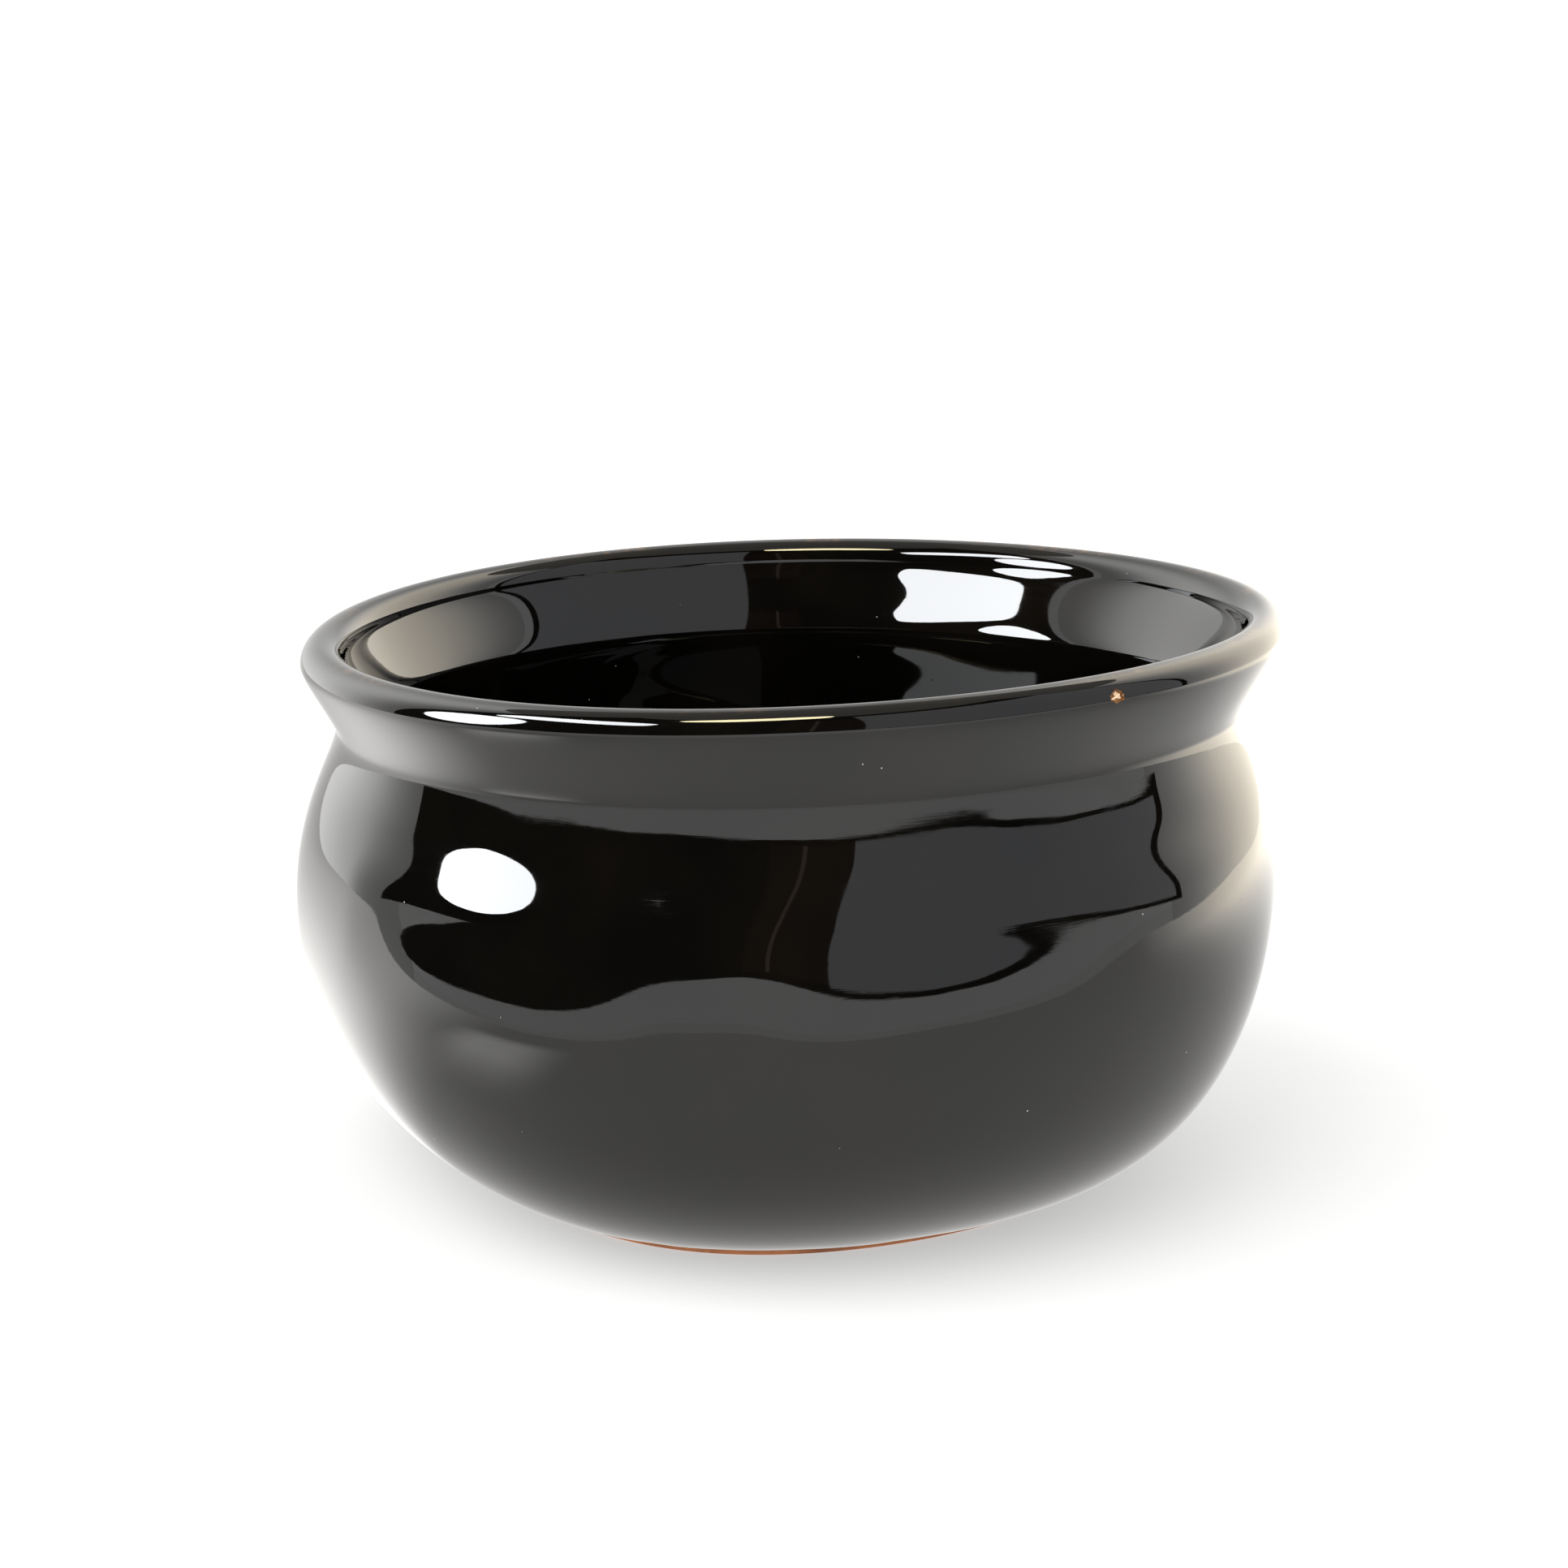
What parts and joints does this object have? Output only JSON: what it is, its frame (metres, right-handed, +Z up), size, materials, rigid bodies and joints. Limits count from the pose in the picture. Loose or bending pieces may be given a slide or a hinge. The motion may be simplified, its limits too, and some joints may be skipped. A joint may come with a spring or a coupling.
{
  "type": "glazed clay bowl",
  "caption": "Round black glazed clay bowl with a rolled lip, shallow neck, softly faceted belly and a bare flat foot, for serving or holding food.",
  "frame": {"origin": "middle of the flat foot, on the surface the bowl stands on", "axes": "+Z up out of the mouth; -Y towards the side with the chip in the lip, which is at about -53 degrees from +X; +X to the right seen from that side, where the rim is highest"},
  "size_m": [0.1514, 0.1558, 0.087],
  "materials": {
    "bare_clay": "unglazed red earthenware, fired, matt and slightly gritty",
    "black_glaze_inside": "deep black glossy glaze, poured",
    "black_glaze_outside": "deep black glossy glaze, dipped, thin and brownish where it breaks over edges"
  },
  "bodies": {
    "root": {"clay_body": "bare_clay", "glaze_inside": "black_glaze_inside", "glaze_outside": "black_glaze_outside"}
  },
  "joints": []
}
